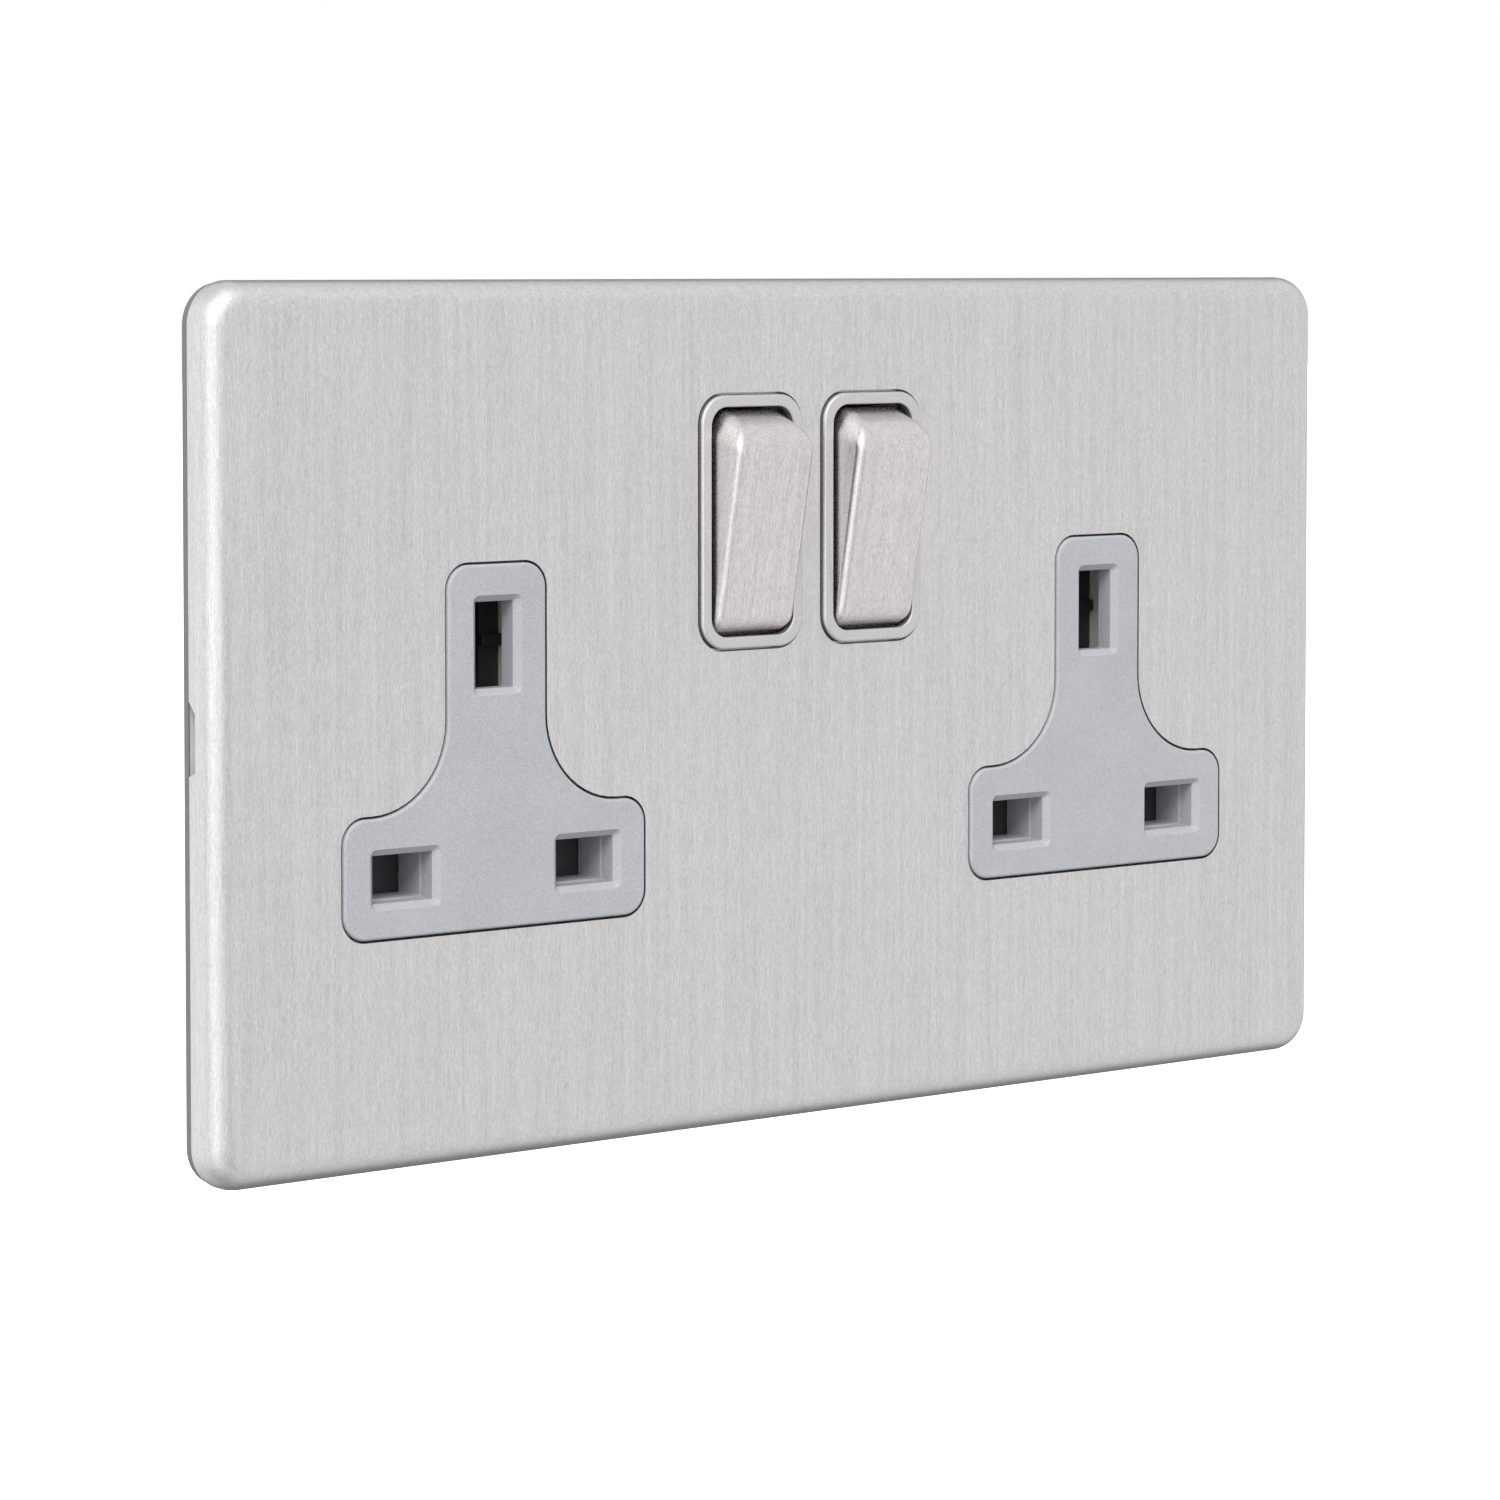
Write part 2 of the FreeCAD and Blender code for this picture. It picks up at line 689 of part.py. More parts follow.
# Switch bezels, pegged to the front housing
for side, way in SIDES:
    middle = d.switch_x * way
    bezel = Piece(f"rocker_bezel_{side}")
    bezel.add(FRONT, d.housing_front, bezel_face, bezel_loop(middle))
    bezel.dress("Fillet", d.bezel_edge_r, lambda box: lies_at(box.YMin, box.YMax, -bezel_face.value))
    bezel.add(FRONT, d.housing_front, d.housing_front + d.bezel_rim_t, bezel_loop(middle, d.bezel_rim))
    bezel.cut(FRONT, d.housing_front - PAST, bezel_face + PAST,
              rect(middle, d.switch_z, d.bezel_open_w, d.bezel_open_h, d.bezel_open_r))
    bezel.dress("Fillet", d.bezel_inner_r, lambda box: (
        lies_at(box.YMin, box.YMax, -bezel_face.value) and box.XLength < d.bezel_open_w.value + NEAR
        and abs(box.XMin - middle.value) < d.bezel_open_w.value / 2 + NEAR
        and abs(box.XMax - middle.value) < d.bezel_open_w.value / 2 + NEAR
        and abs(box.Center.z - d.switch_z.value) < d.bezel_open_h.value / 2 + NEAR))
    bezel.cut(FRONT, d.housing_front - PAST, bezel_face - d.bezel_lip,
              rect(middle, d.switch_z, d.well_w, d.well_h, d.bezel_open_r / 2))
    peg_z = d.well_h / 4 + bezel_rim_h / 4
    bezel.add(FRONT, d.housing_front - d.peg_len, d.housing_front + INTO,
              *[Circle(middle, d.switch_z + peg_z * end, d.bezel_peg_r) for end in (-1, 1)])

# Front housing: flanged moulding with insert seats, switch wells, shutter rails and screw bosses
front = Piece("front_housing")
face_back = d.housing_front - d.housing_face_t
corners = [(d.boss_x * side, d.boss_z * end) for _, side in SIDES for end in (-1, 1)]
front.add(FRONT, d.frame_sheet, d.housing_front,
          lugged(d.flange_w / 2, d.flange_h / 2, d.flange_notch_x, d.flange_notch_z, d.housing_r))
notch_low = ear_z - d.lance_h - d.ear_gap
notch_w = d.ear_w + d.ear_gap * 4
front.cut(FRONT, d.frame_sheet, d.housing_front + PAST, *[
    rect(column, (notch_low + d.plate_h / 2) / 2 * way, notch_w, d.plate_h / 2 - notch_low)
    for column in ear_columns for way in (-1, 1)])
front.add(FRONT, -d.housing_back, d.frame_sheet, lugged(body_x, body_z, d.lug_x, d.lug_z, d.housing_r))
front.cut(FRONT, -d.housing_back - PAST, face_back,
          lugged(body_x - d.housing_wall, body_z - d.housing_wall, d.lug_x - d.housing_wall,
                 d.lug_z + d.housing_wall, d.housing_r / 2))
front.add(FRONT, -d.housing_back, face_back, *[Circle(across, up, d.boss_r) for across, up in corners])
front.cut(FRONT, -d.housing_back - PAST, -d.screw_end + INTO,
          *[Circle(across, up, d.screw_r + d.screw_gap) for across, up in corners])
front.add(FRONT, -d.well_back, face_back, span(-well_x, well_x, d.switch_z - d.well_h / 2 - d.well_wall,
                                              d.switch_z + d.well_h / 2 + d.well_wall))
rail_inner = d.shutter_web_w / 2 + d.rail_gap
rail_outer = rail_inner + d.rail_w
rails = []
lips = []
for _, way in SIDES:
    middle = d.socket_x * way
    rails.append(span(middle - rail_outer, middle - rail_inner, d.rail_low, d.rail_top))
    rails.append(span(middle + rail_inner, middle + rail_outer, d.rail_low, d.rail_top))
    lips.append(span(middle - rail_outer, middle - rail_inner + d.lip_w, d.rail_low, d.rail_top))
    lips.append(span(middle + rail_inner - d.lip_w, middle + rail_outer, d.rail_low, d.rail_top))
front.add(FRONT, shutter_back - d.rail_gap, face_back, *rails)
front.add(FRONT, shutter_back - d.rail_gap - d.lip_t, shutter_back - d.rail_gap, *lips)
front.add(FRONT, shutter_back - d.rail_gap, face_back, *[
    span(d.socket_x * way - d.spring_seat_w / 2, d.socket_x * way + d.spring_seat_w / 2,
         d.spring_seat_z - d.spring_seat_t, d.spring_seat_z) for _, way in SIDES])
for _, way in SIDES:
    middle = d.socket_x * way
    stem = d.stem_w / 2 - d.seat_rim
    stem_low, stem_high = d.earth_z - d.earth_slot_h / 2 - d.seat_rim, d.earth_z + d.insert_top - d.seat_rim
    front.cut(FRONT, face_back, d.housing_front + PAST, seat_loop(middle),
              span(middle - stem, middle + stem, stem_low, stem_high))
    front.cut(FRONT, -d.well_back - PAST, d.housing_front + PAST,
              rect(d.switch_x * way, d.switch_z, d.well_w, d.well_h, d.bezel_open_r / 2))
    front.cut(FRONT, d.housing_front - d.peg_len - d.peg_room, d.housing_front + PAST,
              *[Circle(d.switch_x * way, d.switch_z + peg_z * end, d.bezel_peg_r + d.peg_gap)
                for end in (-1, 1)])
pin_reach = d.switch_x + d.pivot_len / 2 + d.pivot_gap * 4
front.cut(SIDE, -pin_reach, pin_reach, Circle(-d.pivot_front, d.switch_z, d.pivot_r + d.pivot_gap))
nub_top = tab_inner + d.frame_sheet * 0.75
nub_w, nub_h = d.tab_hole_w - d.nub_gap * 2, d.tab_hole_h - d.nub_gap * 2
for low, high in ((body_z - d.housing_wall / 2, nub_top), (-nub_top, -body_z + d.housing_wall / 2)):
    front.add(PLAN, low, high, *[rect(d.tab_x * side, d.tab_hole_at, nub_w, nub_h) for _, side in SIDES])

# Rear housing: tray with contact posts, terminal dividers, wire entries and screw bosses
rear = Piece("rear_housing")
rear_x, rear_z = body_x - d.rear_inset, body_z - d.rear_inset
inner_x, inner_z = rear_x - d.housing_wall, rear_z - d.housing_wall
rear.add(FRONT, -d.rear_back, -d.housing_back,
         lugged(rear_x, rear_z, d.lug_x - d.rear_inset, d.lug_z + d.rear_inset, d.housing_r))
rear.dress("Fillet", d.rear_edge_r, lambda box: lies_at(box.YMin, box.YMax, d.rear_back.value))
rear.cut(FRONT, floor_front, -d.housing_back + PAST,
         lugged(inner_x, inner_z, d.lug_x - d.rear_inset - d.housing_wall,
                d.lug_z + d.rear_inset + d.housing_wall, d.housing_r / 2))
posts_from = floor_front - INTO
rear.add(FRONT, posts_from, -d.housing_back, *[Circle(across, up, d.boss_r) for across, up in corners])
outer_pin, inner_pin = d.socket_x + half_pins, d.socket_x - half_pins
prop_z = d.strip_top - d.strip_w / 2
for level, loops in (
    (d.live_level, [rect(across, line_z, d.post_len, d.post_w) for across in (-inner_pin, outer_pin)]),
    (d.live_level, [rect(across, prop_z, d.prop_w, d.prop_w) for across in (d.left_prop_x, d.right_prop_x)]),
    (d.neutral_level, [rect(across, line_z, d.post_len, d.post_w) for across in (-outer_pin, inner_pin)]),
    (d.earth_level, [rect(d.socket_x * way, d.earth_z, d.post_len, d.post_len) for _, way in SIDES]),
    (d.feed_level, [rect(d.switch_x * way, d.switch_z, d.post_len, d.post_len) for _, way in SIDES]),
):
    rear.add(FRONT, posts_from, -level, *loops)
divider_x = [d.terminal_x * step for step in (-1.5, -0.5, 0.5, 1.5)] + [inner_pin + d.terminal_x / 2]
rear.add(FRONT, posts_from, -d.neutral_level + d.brass,
         *[span(across - d.divider_t / 2, across + d.divider_t / 2, -inner_z - INTO, -inner_z + d.divider_h)
           for across in divider_x])
wire_y = d.neutral_level + d.wire_at
entry = d.clamp_access_r
entry_r = entry * 0.95
rear.cut(FRONT, -d.rear_back - PAST, floor_front, *[Outline([
    (across - entry, -rear_z - PAST, 0),
    (across + entry, -rear_z - PAST, 0),
    (across + entry, d.terminal_z + entry, entry_r),
    (across - entry, d.terminal_z + entry, entry_r),
]) for across in terminals.values()])
rear.cut(PLAN, -rear_z - PAST, -inner_z, *[Outline([
    (across - entry, wire_y - entry, entry_r),
    (across + entry, wire_y - entry, entry_r),
    (across + entry, d.rear_back + PAST, 0),
    (across - entry, d.rear_back + PAST, 0),
]) for across in terminals.values()])
head_seat = -d.rear_back + d.screw_head_t + d.screw_sink
rear.cut(FRONT, -d.rear_back - PAST, -d.housing_back + PAST,
         *[Circle(across, up, d.screw_r + d.screw_gap) for across, up in corners])
rear.cut(FRONT, -d.rear_back - PAST, head_seat,
         *[Circle(across, up, d.screw_head_r + d.screw_head_gap) for across, up in corners])

# Housing screws, four alike
screws = Piece("housing_screws", group=True)
head_back = head_seat - d.screw_head_t
screws.add(FRONT, head_back, head_seat, *[Circle(across, up, d.screw_head_r) for across, up in corners])
screws.add(FRONT, head_seat, -d.screw_end, *[Circle(across, up, d.screw_r) for across, up in corners])
screws.cut(FRONT, head_back - PAST, head_back + d.drive_depth,
           *[rect(across, up, d.drive_w, d.screw_head_r * DRIVE_SHARE) for across, up in corners])


def clip_points(middle, front, back):
    """A folded spring clip that opens forward, as across and depth."""
    inner = d.clip_gap / 2
    outer = inner + d.brass
    mouth = inner + d.clip_mouth
    half = [(front, mouth), (front + d.clip_flare, inner), (back - d.brass, inner)]
    rest = [(back, outer), (front + d.clip_flare + d.brass / 2, outer), (front, mouth + d.brass)]
    loop = [(depth, middle + up) for depth, up in half]
    loop += [(depth, middle - up) for depth, up in reversed(half)]
    loop += [(depth, middle - up) for depth, up in reversed(rest)]
    loop += [(depth, middle + up) for depth, up in rest]
    return loop


def add_pin_clip(piece, across, level):
    """A contact that grips a flat pin from above and below."""
    half = d.clip_w / 2
    piece.add(SIDE, across - half, across + half, Polygon(clip_points(line_z, d.clip_front, level)))


def add_jog(piece, across, width, top, turn, first, second):
    """A strip that steps from one depth to another on its way down to a terminal."""
    low = turn - d.jog_len
    skew = d.brass * (0.4 if second.value > first.value else -0.4)
    piece.add(SIDE, across - width / 2, across + width / 2, Polygon([
        (first - d.brass, top),
        (first - d.brass, turn),
        (second - d.brass, low),
        (second - d.brass, tab_foot),
        (second, tab_foot),
        (second, low + skew),
        (first, turn + skew),
        (first, top),
    ]))


# Neutral bar with both neutral clips and its terminal tab
neutral = Piece("neutral_busbar")
bar_low = line_z + d.clip_gap / 2
half_clip = d.clip_w / 2
neutral.add(FRONT, -d.neutral_level, -d.neutral_level + d.brass,
            span(-outer_pin - half_clip, inner_pin + half_clip, bar_low, bar_low + d.bar_h))
add_pin_clip(neutral, -outer_pin, d.neutral_level)
add_pin_clip(neutral, inner_pin, d.neutral_level)
neutral.add(FRONT, -d.neutral_level, -d.neutral_level + d.brass,
            span(inner_pin - half_clip, inner_pin + half_clip, tab_foot, line_z))

# Earth bar with both earth clips and two terminal tabs
earth = Piece("earth_busbar")
earth.add(FRONT, -d.earth_level, -d.earth_level + d.brass,
          rect(0, d.earth_z, d.socket_x * 2 + d.clip_gap, d.earth_bar_h))
for _, way in SIDES:
    points = clip_points(d.socket_x * way, d.earth_clip_front, d.earth_level)
    loop = [(across, depth) for depth, across in points]
    earth.add(PLAN, d.earth_z - d.earth_clip_h / 2, d.earth_z + d.earth_clip_h / 2, Polygon(loop))
    add_jog(earth, d.terminal_x * way, d.clip_w, d.earth_z, line_z, d.earth_level, d.neutral_level)

# Live contacts, each with a strip up to the fixed stud of its switch
stud_face = -d.seesaw_depth - d.fixed_gap
for side, way, pin, run in (("left", -1, -inner_pin, d.left_run_x), ("right", 1, outer_pin, d.right_run_x)):
    live = Piece(f"live_contact_{side}")
    add_pin_clip(live, pin, d.live_level)
    half_run = d.strip_w / 2
    level = (-d.live_level, -d.live_level + d.brass)
    foot = (line_z - d.strip_w / 2, line_z + d.strip_w / 2)
    tail = (pin, run + half_run) if way < 0 else (run - half_run, pin)
    live.add(FRONT, *level, span(*tail, *foot))
    live.add(FRONT, *level, span(run - half_run, run + half_run, foot[0], d.strip_top))
    reach = d.switch_x - d.seesaw_w / 2
    arm = (run - half_run, -reach) if way < 0 else (reach, run + half_run)
    live.add(FRONT, *level, span(*arm, d.strip_top - d.strip_w, d.strip_top))
    live.add(FRONT, -d.live_level + d.brass / 2, stud_face,
             Circle(d.switch_x * way, d.switch_z + d.button_z, d.fixed_r))

# Live feed strip with a cradle for each moving contact
feed = Piece("live_feed_bar")
feed.add(FRONT, -d.feed_level, -d.feed_level + d.brass,
         rect(0, d.switch_z, d.switch_x * 2 + d.seesaw_w, d.seesaw_w))
add_jog(feed, size_of(0), d.clip_w, d.switch_z, line_z + d.feed_turn, d.feed_level, d.neutral_level)
feed.add(FRONT, -d.feed_level + d.brass / 2, -d.seesaw_depth - d.knuckle_gap,
         *[rect(d.switch_x * way, d.switch_z, d.seesaw_w, d.cradle_h) for _, way in SIDES])
feed_half = d.switch_x + d.seesaw_w
feed.cut(SIDE, -feed_half, feed_half, Circle(d.seesaw_depth, d.switch_z, d.knuckle_r + d.knuckle_gap))

# Terminal blocks with a wire bore from below and a clamp screw from behind
for name, across in terminals.items():
    block = Piece(name)
    back = -d.neutral_level - d.terminal_t
    reach = d.terminal_h / 2 + PAST
    block.add(FRONT, back, -d.neutral_level,
              rect(across, d.terminal_z, d.terminal_w, d.terminal_h, d.terminal_r))
    block.cut(PLAN, d.terminal_z - reach, d.terminal_z + reach, Circle(across, wire_y, d.wire_r))
    block.cut(FRONT, back - PAST, -wire_y - d.wire_r / 2,
              Circle(across, d.terminal_z, d.clamp_r + d.clamp_gap))
clamps = Piece("terminal_screws", group=True)
clamp_tip = -wire_y - d.wire_r - d.clamp_tip_gap
clamp_seat = -d.neutral_level - d.terminal_t - d.clamp_lift
clamp_back = clamp_seat - d.screw_head_t
clamps.add(FRONT, clamp_seat, clamp_tip,
           *[Circle(across, d.terminal_z, d.clamp_r) for across in terminals.values()])
clamps.add(FRONT, clamp_back, clamp_seat,
           *[Circle(across, d.terminal_z, d.clamp_head_r) for across in terminals.values()])
clamps.cut(FRONT, clamp_back - PAST, clamp_back + d.drive_depth,
           *[rect(across, d.terminal_z, d.drive_w, d.clamp_head_r * DRIVE_SHARE)
             for across in terminals.values()])


def coil(name, plane, axis_role, start, length):
    """A coil spring along one of its body's axes."""
    spring = Piece(name)
    wire = rect(d.spring_r, start + d.spring_wire / 2, d.spring_wire, d.spring_wire)
    profile = spring.sketch(plane, 0, [wire])
    helix = spring.body.newObject("PartDesign::AdditiveHelix", f"{name}_coil")
    helix.Profile = profile
    axis = next(item for item in spring.body.Origin.OriginFeatures if item.Role == axis_role)
    helix.ReferenceAxis = (axis, [""])
    helix.Mode = "height-turns-angle"
    rise = length - d.spring_wire
    helix.Height = rise.value
    helix.Turns = d.spring_turns.value
    helix.Angle = 0
    bind(helix, "Height", rise)
    bind(helix, "Turns", d.spring_turns)
    profile.Visibility = False
    spring.body.Tip = helix
    return spring


# Shutters: sprung slides behind each socket, pushed down by the earth pin
web = d.shutter_web_w / 2
blade = d.blade_w / 2
blade_low, blade_high = line_z - d.blade_foot, line_z + d.blade_top
for side, way in SIDES:
    middle = d.socket_x * way
    shutter = Piece(f"shutter_{side}")
    shutter.add(FRONT, shutter_back, shutter_front, Outline([
        (middle - blade, blade_low, d.shutter_r),
        (middle + blade, blade_low, d.shutter_r),
        (middle + blade, blade_high, d.shutter_r),
        (middle + web, blade_high, d.shutter_r),
        (middle + web, d.shutter_top, d.shutter_r),
        (middle - web, d.shutter_top, d.shutter_r),
        (middle - web, blade_high, d.shutter_r),
        (middle - blade, blade_high, d.shutter_r),
    ]))
    shutter.cut(FRONT, shutter_back - PAST, shutter_front + PAST,
                span(middle - d.window_w / 2, middle + d.window_w / 2, d.cam_low, d.window_top))
    left_end, right_end = middle - web - PAST, middle + web + PAST
    shutter.cut(FRONT, shutter_front - d.rib_proud, shutter_front + PAST,
                span(left_end, right_end, d.cam_low, d.earth_z - d.rib_h / 2),
                span(left_end, right_end, d.earth_z + d.rib_h / 2, d.shutter_top + PAST))
    cam_front = -shutter_front + d.rib_proud
    cam_run = d.cam_top - d.cam_lip - d.cam_low
    half_cam = d.window_w / 2 + d.cam_side
    shutter.add(SIDE, middle - half_cam, middle + half_cam, Polygon([
        (cam_front, d.cam_low - d.cam_root),
        (cam_front, d.cam_low),
        (cam_front + cam_run, d.cam_low + cam_run),
        (cam_front + cam_run, d.cam_top),
        (cam_front + cam_run + d.cam_t, d.cam_top),
        (cam_front + cam_run + d.cam_t, d.cam_low + cam_run - d.cam_root),
        (-shutter_back, d.cam_low - d.cam_root),
    ]))
    spring_len = blade_low - d.spring_seat_z - d.spring_gap * 2
    spring = coil(f"shutter_spring_{side}", FRONT, "Z_Axis", size_of(0), spring_len)
    spring.place(middle, (shutter_front + shutter_back) / 2, d.spring_seat_z + d.spring_gap)


def cap_hollow(gap):
    """The stepped hollow of a rocker cap as levels and loops, shrunk by a gap."""
    shrink = d.cap_sheet + gap
    width = d.rocker_w - shrink * 2
    step = d.rocker_face - d.rocker_end_r - gap
    roof = d.rocker_face - shrink
    lower = rect(0, 0, width, d.rocker_len - shrink * 2, d.rocker_corner_r - shrink)
    upper = rect(0, 0, width, d.rocker_len - d.rocker_end_r * 2 + d.cap_sheet * 2 - gap * 2, d.cap_step_r)
    return step, lower, roof, upper


# Rockers: metal cap on a moulded body with pivots, a sprung plunger and a see-saw contact
for side, way in SIDES:
    middle = d.switch_x * way
    cap = Piece(f"rocker_cap_{side}")
    end = d.rocker_len / 2
    cap.add(SIDE, -d.rocker_w / 2, d.rocker_w / 2, Outline([
        (-d.rocker_face, -end, d.rocker_end_r),
        (-d.rocker_foot, -end, 0),
        (-d.rocker_foot, end, 0),
        (-d.rocker_face, end, d.rocker_end_r),
    ]))
    cap.cut(FRONT, 0, d.rocker_face + PAST, rect(0, 0, d.rocker_w + PAST * 2, d.rocker_len + PAST * 2),
            rect(0, 0, d.rocker_w, d.rocker_len, d.rocker_corner_r))
    cap.dress("Fillet", d.rocker_edge_r, lambda box: (
        box.XMin * box.XMax > 0
        and box.ZLength > INTO
        and box.YMax < -(d.rocker_face - d.rocker_end_r).value + NEAR))
    step, lower, roof, upper = cap_hollow(size_of(0))
    cap.cut(FRONT, d.rocker_foot - PAST, step, lower)
    cap.cut(FRONT, step - INTO, roof, upper)
    cap.place(middle, d.pivot_front, d.switch_z, d.rocker_tilt)

    core = Piece(f"rocker_body_{side}")
    step, lower, roof, upper = cap_hollow(d.cap_gap)
    core.add(FRONT, d.rocker_foot - INTO, step, lower)
    core.add(FRONT, step - INTO, roof, upper)
    hub = span(-d.rocker_foot, d.hub_back, -d.hub_len / 2, d.hub_len / 2)
    core.add(SIDE, -d.hub_w / 2, d.hub_w / 2, hub)
    core.add(SIDE, -d.pivot_len / 2, d.pivot_len / 2, Circle(0, 0, d.pivot_r))
    core.add(FRONT, -d.stem_back, 0, rect(0, 0, d.stem_x, d.stem_z, d.stem_r))
    core.cut(FRONT, -d.stem_back - PAST, d.bore_top, Circle(0, 0, d.plunger_r + d.plunger_gap))
    core.place(middle, d.pivot_front, d.switch_z, d.rocker_tilt)

    plunger = Piece(f"plunger_{side}")
    plunger.add(FRONT, -d.plunger_tip, -d.plunger_tip + d.plunger_len, Circle(0, 0, d.plunger_r))
    plunger.dress("Fillet", d.plunger_r * 0.9, lambda box: lies_at(box.YMin, box.YMax, d.plunger_tip.value))
    plunger.place(middle, d.pivot_front, d.switch_z, d.rocker_tilt)

    push_len = d.bore_top + d.plunger_tip - d.plunger_len - d.spring_gap * 2
    push = coil(f"rocker_spring_{side}", PLAN, "Y_Axis", -d.bore_top + d.spring_gap, push_len)
    push.place(middle, d.pivot_front, d.switch_z, d.rocker_tilt)

    seesaw = Piece(f"moving_contact_{side}")
    seesaw.add(SIDE, -d.seesaw_w / 2, d.seesaw_w / 2,
               span(-d.seesaw_lead, -d.seesaw_lead + d.seesaw_t, -d.seesaw_len / 2, d.seesaw_len / 2))
    seesaw.add(SIDE, -d.seesaw_w / 2, d.seesaw_w / 2, Circle(0, 0, d.knuckle_r))
    seesaw.add(FRONT, d.seesaw_lead - d.seesaw_t - d.button_t, d.seesaw_lead - d.seesaw_t / 2,
               Circle(0, d.button_z, d.button_r))
    seesaw.place(middle, -d.seesaw_depth, d.switch_z, -d.seesaw_tilt)

doc.recompute()
broken = [item.Name for item in doc.Objects if "Invalid" in item.State or "Error" in item.State]
bodies = [item for item in doc.Objects if item.TypeId == "PartDesign::Body"]
broken += [item.Label for item in bodies if item.Shape.isNull() or not item.Shape.isValid()]
if broken:
    raise RuntimeError(f"features that did not build: {broken}")
for item in bodies:
    item.Shape.exportStep(f"parts/{item.Label}.step")
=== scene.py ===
"""Twin switched socket outlet: finishes, leaning rocker caps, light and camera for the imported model."""
import json
import math

import bpy
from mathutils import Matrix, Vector


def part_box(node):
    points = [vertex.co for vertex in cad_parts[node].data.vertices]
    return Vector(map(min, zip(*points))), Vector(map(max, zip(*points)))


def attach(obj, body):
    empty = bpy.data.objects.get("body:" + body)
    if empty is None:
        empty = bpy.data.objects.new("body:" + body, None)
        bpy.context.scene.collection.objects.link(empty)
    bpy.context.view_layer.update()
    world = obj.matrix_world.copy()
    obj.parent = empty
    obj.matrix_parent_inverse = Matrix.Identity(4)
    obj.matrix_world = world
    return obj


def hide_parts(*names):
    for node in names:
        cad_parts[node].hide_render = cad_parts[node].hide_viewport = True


MM = 0.001
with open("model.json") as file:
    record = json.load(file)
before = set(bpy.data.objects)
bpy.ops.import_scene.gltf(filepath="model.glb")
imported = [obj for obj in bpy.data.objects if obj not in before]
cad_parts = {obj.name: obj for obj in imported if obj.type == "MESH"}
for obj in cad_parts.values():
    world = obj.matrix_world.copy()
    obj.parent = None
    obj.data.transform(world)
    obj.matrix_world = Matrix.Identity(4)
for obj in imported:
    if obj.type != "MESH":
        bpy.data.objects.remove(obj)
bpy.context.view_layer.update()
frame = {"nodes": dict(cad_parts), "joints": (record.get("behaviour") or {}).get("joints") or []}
plate_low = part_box("front_plate")[0]
frame_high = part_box("mounting_frame")[1]
WHITE = (1.0, 1.0, 1.0, 1.0)

# Camera, at the place from which the plate is seen: angles in degrees, lens and sensor in millimetres
CAMERA_PLACE = (-335.02 * MM, -409.11 * MM, 45.2 * MM)
CAMERA_YAW = 38.944
CAMERA_PITCH = 2.954
CAMERA_LENS = 122.26
CAMERA_SENSOR = 36.0
CAMERA_SHIFT_UP = -0.15

# Floor, at a drop below the plate
FLOOR_DROP = 0.09
FLOOR_SIZE = 12.0
FLOOR_PATCH = 0.08
FLOOR_DARK = (0.90, 0.90, 0.90)
FLOOR_LIGHT = (0.94, 0.94, 0.94)
FLOOR_ROUGHNESS = 0.8
FLOOR_EMISSION = 0.3

# Surroundings: the height of a direction, from -1 straight down to 1 straight up, and its grey
SKY = ((-1.0, 0.45), (-0.85, 0.68), (-0.70, 0.84), (-0.30, 0.89), (0.1, 0.88), (1.0, 0.86))

# Glows: a direction, the cosine of the angle at which its edge lies, and its gain, below zero for a shade
GLOWS = (
    ((-0.58, -0.66, 0.48), 0.70, 1.05),  # high in front on the left
    ((-0.85, 0.50, 0.15), 0.50, 0.28),  # behind on the left
    ((-0.75, -0.58, -0.32), 0.90, 0.50),  # low in front on the left
    ((-0.05, -0.50, 0.86), 0.78, 0.70),  # overhead
    ((0.64, 0.74, 0.20), 0.76, -0.85),  # behind on the right
    ((0.55, 0.55, -0.63), 0.70, -0.72),  # low behind on the right
    ((0.15, -0.90, -0.40), 0.93, -0.25),  # low in front
)

# Key light: the direction that it comes from, its strength, and its spread in degrees
KEY_FROM = (-0.50, -0.55, 0.67)
KEY_STRENGTH = 2.2
KEY_SPREAD = 25.0

# Rockers at rest: the directions along and out of the face
ROCKER_TILT = math.radians(11.0)
CAP_ALONG = Vector((0.0, -math.sin(ROCKER_TILT), math.cos(ROCKER_TILT)))
CAP_OUT = Vector((0.0, -math.cos(ROCKER_TILT), -math.sin(ROCKER_TILT)))

# Rocker caps: the bend at each end, the level over the pivot that keeps its length, and the lean per depth
CAP_BEND = 2.8 * MM
CAP_LEVEL = 5.2 * MM
CAP_LEAN = 0.22

# Mounting frame: the dark tone of its cut edge, partly the sheared edge's own tone and partly painted shade
# of the gap behind the plate rim, and the rounded rectangle inside it that is plated
CUT_EDGE_AND_SHADE = (0.16, 0.155, 0.165)
EDGE_DEPTH = 0.15 * MM
FRAME_CORNER = 4.1 * MM
PLATED_AREA = (frame_high.x - EDGE_DEPTH, frame_high.z - EDGE_DEPTH, FRAME_CORNER - EDGE_DEPTH)


def add_node(tree, kind, **settings):
    """A new shader node with its options set."""
    node = tree.nodes.new(kind)
    for key, value in settings.items():
        setattr(node, key, value)
    return node


